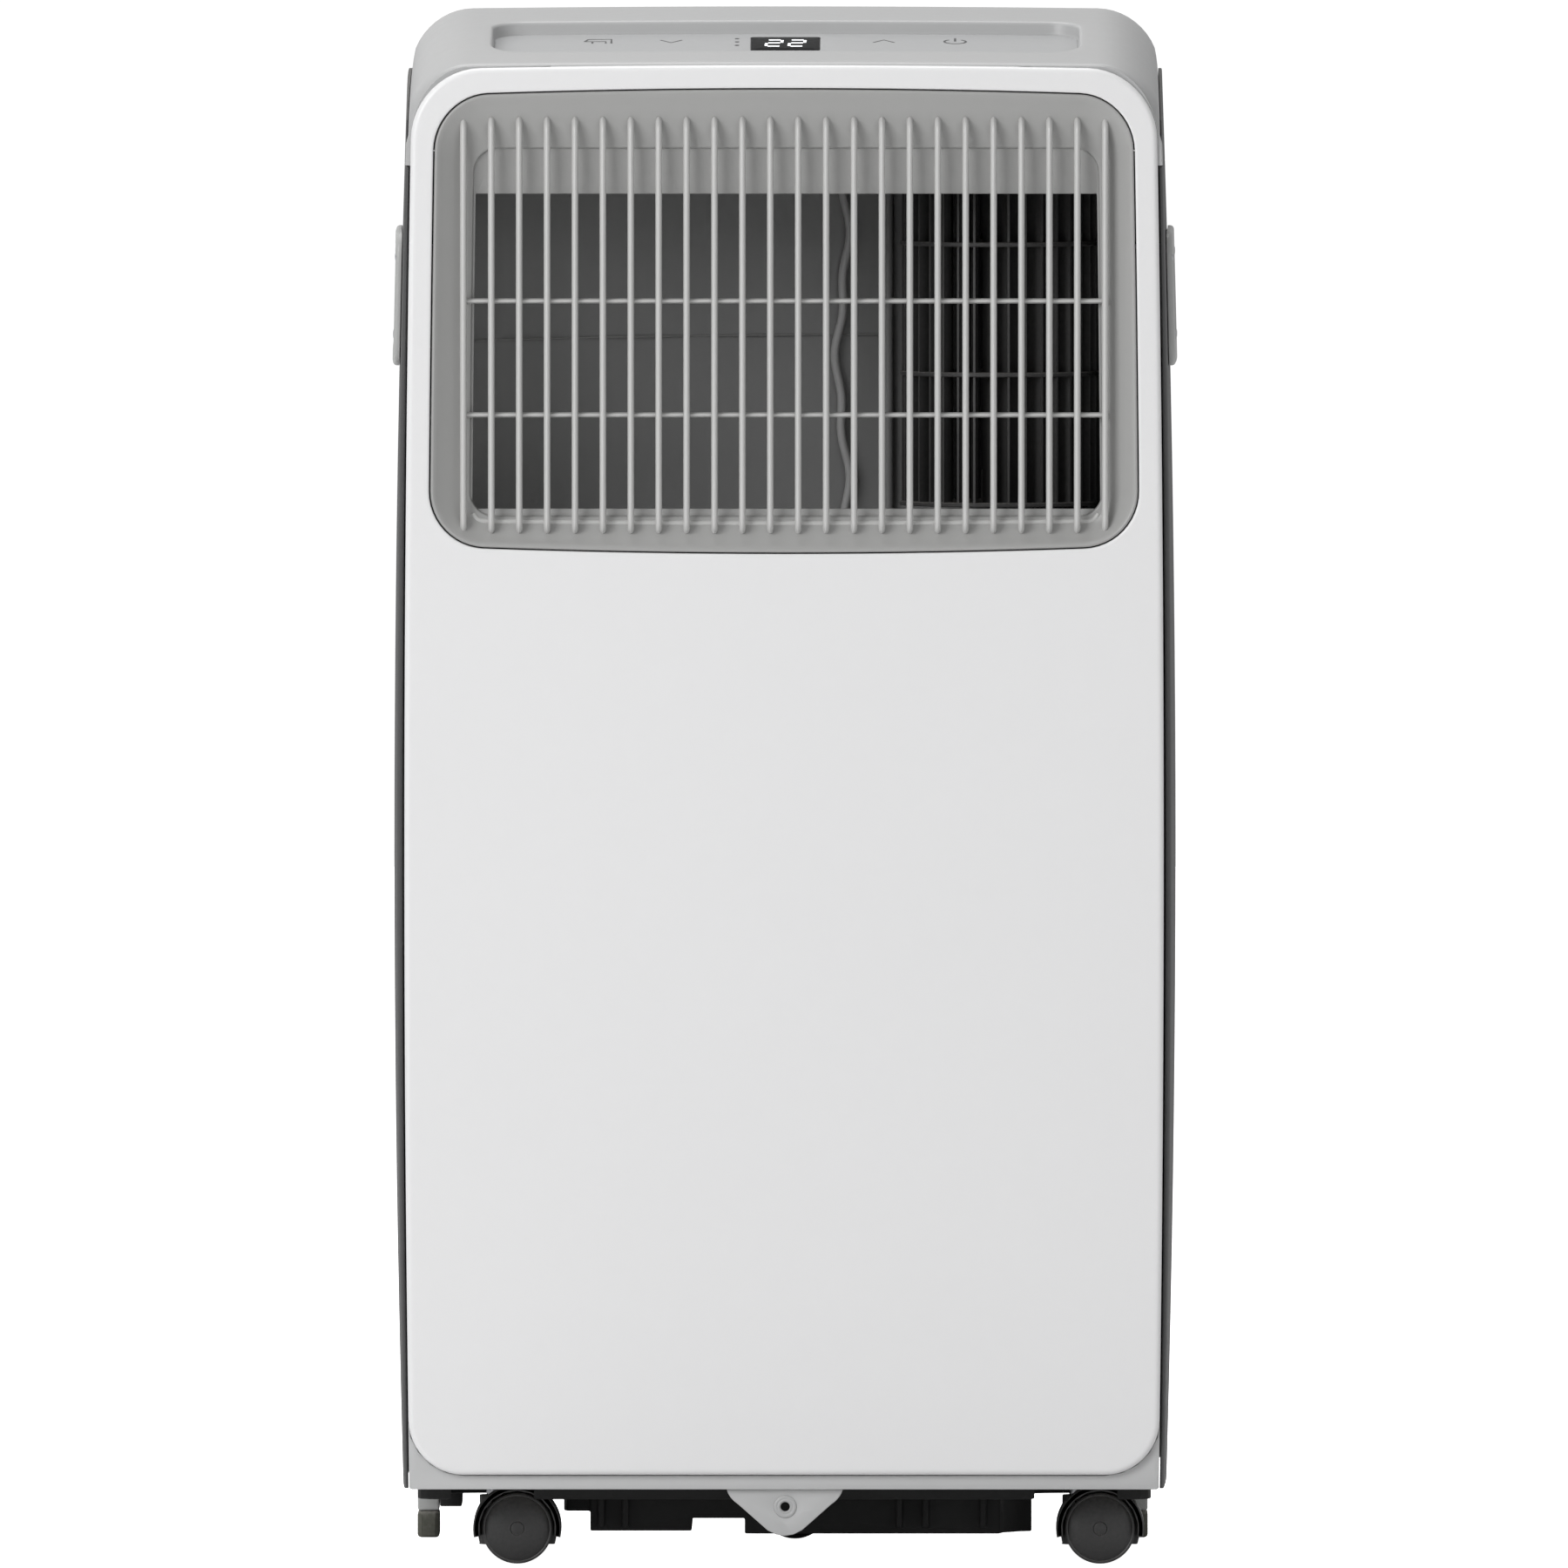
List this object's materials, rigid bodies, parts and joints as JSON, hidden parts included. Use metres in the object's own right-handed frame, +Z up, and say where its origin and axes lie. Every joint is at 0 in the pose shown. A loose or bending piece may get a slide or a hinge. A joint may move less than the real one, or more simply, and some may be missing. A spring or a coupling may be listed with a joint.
{
  "type": "portable air conditioner",
  "caption": "Upright room air conditioner on castors, with a barred front outlet, touch panel on top, side handles, rear intakes, exhaust collar and working fans inside.",
  "frame": {"origin": "on the floor, under the middle of the case's outer box", "axes": "+Z up, the front outlet faces -Y, +X to the right of someone looking at the front"},
  "size_m": [0.3564, 0.345, 0.7028],
  "materials": {
    "white_panel": "satin white moulded plastic",
    "light_grey_case": "fine textured light grey moulded plastic",
    "grille_grey": "satin mid grey moulded plastic",
    "control_film": "satin printed overlay film",
    "display_black": "glossy black display window",
    "circuit_board": "green circuit board",
    "dark_case": "fine textured dark grey moulded plastic",
    "handle_grey": "satin light grey moulded plastic",
    "filter_mesh": "woven nylon filter mesh in its frame",
    "rubber_parts": "dull moulded rubber",
    "black_moulding": "black moulded plastic",
    "castor_nylon": "satin dark grey nylon",
    "plated_steel": "zinc plated sheet steel",
    "coil_fins": "bright aluminium fins",
    "compressor_enamel": "black enamel",
    "copper_pipe": "bright drawn copper tube"
  },
  "bodies": {
    "case": {"front_panel": "white_panel", "front_frame": "light_grey_case", "top_cover": "light_grey_case", "outlet_grille": "grille_grey", "control_film": "control_film", "display_window": "display_black", "control_board": "circuit_board", "side_panel_left": "dark_case", "side_panel_right": "dark_case", "upper_case": "dark_case", "rear_panel": "dark_case", "exhaust_collar": "dark_case", "handle_left": "handle_grey", "handle_right": "handle_grey", "rear_leg_left": "handle_grey", "rear_leg_right": "handle_grey", "leg_pad_left": "rubber_parts", "leg_pad_right": "rubber_parts", "compressor_grommet_1": "rubber_parts", "compressor_grommet_2": "rubber_parts", "compressor_grommet_3": "rubber_parts", "cord_gland": "black_moulding", "base_pan": "black_moulding", "blower_housing": "black_moulding", "mid_deck": "black_moulding", "fan_scroll": "black_moulding", "exhaust_duct": "black_moulding", "blower_motor": "plated_steel", "fan_motor": "plated_steel", "electrical_box": "plated_steel", "evaporator_coil": "coil_fins", "condenser_coil": "coil_fins", "compressor": "compressor_enamel", "accumulator": "compressor_enamel", "discharge_pipe": "copper_pipe", "suction_pipe": "copper_pipe", "capillary_pipe": "copper_pipe"},
    "castor_fork_front_left": {"castor_yoke_front_left": "castor_nylon", "castor_stem_front_left": "plated_steel"},
    "castor_roller_front_left": {"castor_wheels_front_left": "castor_nylon"},
    "castor_fork_front_right": {"castor_yoke_front_right": "castor_nylon", "castor_stem_front_right": "plated_steel"},
    "castor_roller_front_right": {"castor_wheels_front_right": "castor_nylon"},
    "castor_fork_rear": {"castor_yoke_rear": "castor_nylon", "castor_stem_rear": "plated_steel"},
    "castor_roller_rear": {"castor_wheels_rear": "castor_nylon"},
    "cross_flow_wheel": {"cross_flow_wheel": "black_moulding"},
    "condenser_fan": {"condenser_fan": "black_moulding"},
    "intake_cassette_upper": {"intake_grille_upper": "dark_case", "filter_upper": "filter_mesh"},
    "intake_cassette_lower": {"intake_grille_lower": "dark_case", "filter_lower": "filter_mesh"},
    "drain_plug_upper": {"drain_plug_upper": "rubber_parts"},
    "drain_plug_lower": {"drain_plug_lower": "rubber_parts"}
  },
  "joints": [
    {"name": "castor_swivel_front_left", "type": "hinge", "parent": "case", "child": "castor_fork_front_left", "pos_m": [-0.132, -0.115, 0.03], "axis": [0, 0, 1], "continuous": true},
    {"name": "castor_roll_front_left", "type": "hinge", "parent": "castor_fork_front_left", "child": "castor_roller_front_left", "pos_m": [-0.121, -0.115, 0.016], "axis": [0, 1, 0], "continuous": true},
    {"name": "castor_swivel_front_right", "type": "hinge", "parent": "case", "child": "castor_fork_front_right", "pos_m": [0.132, -0.115, 0.03], "axis": [0, 0, 1], "continuous": true},
    {"name": "castor_roll_front_right", "type": "hinge", "parent": "castor_fork_front_right", "child": "castor_roller_front_right", "pos_m": [0.143, -0.115, 0.016], "axis": [0, 1, 0], "continuous": true},
    {"name": "castor_swivel_rear", "type": "hinge", "parent": "case", "child": "castor_fork_rear", "pos_m": [-0.007, 0.128, 0.03], "axis": [0, 0, 1], "continuous": true},
    {"name": "castor_roll_rear", "type": "hinge", "parent": "castor_fork_rear", "child": "castor_roller_rear", "pos_m": [0.004, 0.128, 0.016], "axis": [0, 1, 0], "continuous": true},
    {"name": "blower_spin", "type": "hinge", "parent": "case", "child": "cross_flow_wheel", "pos_m": [0.098, -0.06, 0.56], "axis": [0, 0, 1], "continuous": true},
    {"name": "condenser_fan_spin", "type": "hinge", "parent": "case", "child": "condenser_fan", "pos_m": [0.02, 0.052, 0.19], "axis": [0, 1, 0], "continuous": true},
    {"name": "intake_cassette_upper_pull", "type": "slide", "parent": "case", "child": "intake_cassette_upper", "axis": [0, 1, 0], "range_m": [0, 0.04]},
    {"name": "intake_cassette_lower_pull", "type": "slide", "parent": "case", "child": "intake_cassette_lower", "axis": [0, 1, 0], "range_m": [0, 0.04]},
    {"name": "drain_plug_upper_pull", "type": "slide", "parent": "case", "child": "drain_plug_upper", "axis": [0, 1, 0], "range_m": [0, 0.02]},
    {"name": "drain_plug_lower_pull", "type": "slide", "parent": "case", "child": "drain_plug_lower", "axis": [0, 1, 0], "range_m": [0, 0.02]}
  ]
}
